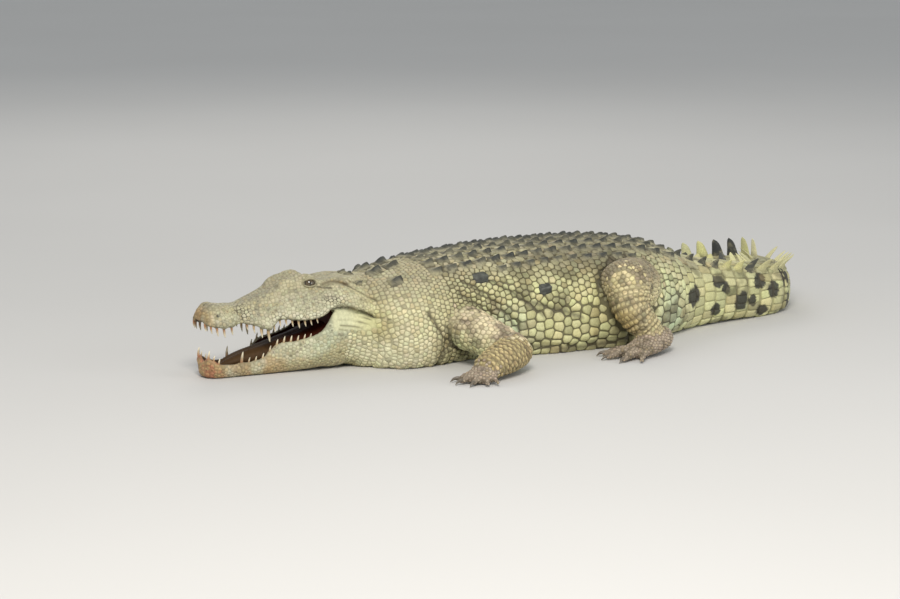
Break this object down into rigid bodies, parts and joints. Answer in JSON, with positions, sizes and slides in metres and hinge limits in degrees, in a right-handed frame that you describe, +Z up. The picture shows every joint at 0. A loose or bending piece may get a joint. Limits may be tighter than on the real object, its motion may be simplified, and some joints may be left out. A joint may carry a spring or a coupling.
{
  "type": "life-size crocodile model",
  "caption": "Life-size Nile crocodile model basking on its belly with its mouth open, legs folded at its sides and its long tail hooked back.",
  "frame": {"origin": "on the floor, in the flat of the belly under the middle of the trunk", "axes": "+X from the head towards the tail along the trunk, +Y towards the animal's right side, +Z up from the floor"},
  "size_m": [2.014, 1.4451, 0.2719],
  "materials": {
    "skin": "dry, scaly, yellow-green to grey-tan hide with dark blotches; the teeth and claws joined to it are ivory and horn",
    "mouth_lining": "moist",
    "eye": "wet gloss"
  },
  "bodies": {
    "root": {"head": "skin", "lower_jaw": "skin", "tongue": "mouth_lining", "eye_left": "eye", "eye_right": "eye", "neck": "skin", "trunk": "skin", "tail_1": "skin", "tail_2": "skin", "tail_3": "skin", "tail_4": "skin", "tail_5": "skin", "upper_arm_left": "skin", "forearm_left": "skin", "forefoot_left": "skin", "thigh_left": "skin", "shank_left": "skin", "hindfoot_left": "skin", "upper_arm_right": "skin", "forearm_right": "skin", "forefoot_right": "skin", "thigh_right": "skin", "shank_right": "skin", "hindfoot_right": "skin"}
  },
  "joints": []
}
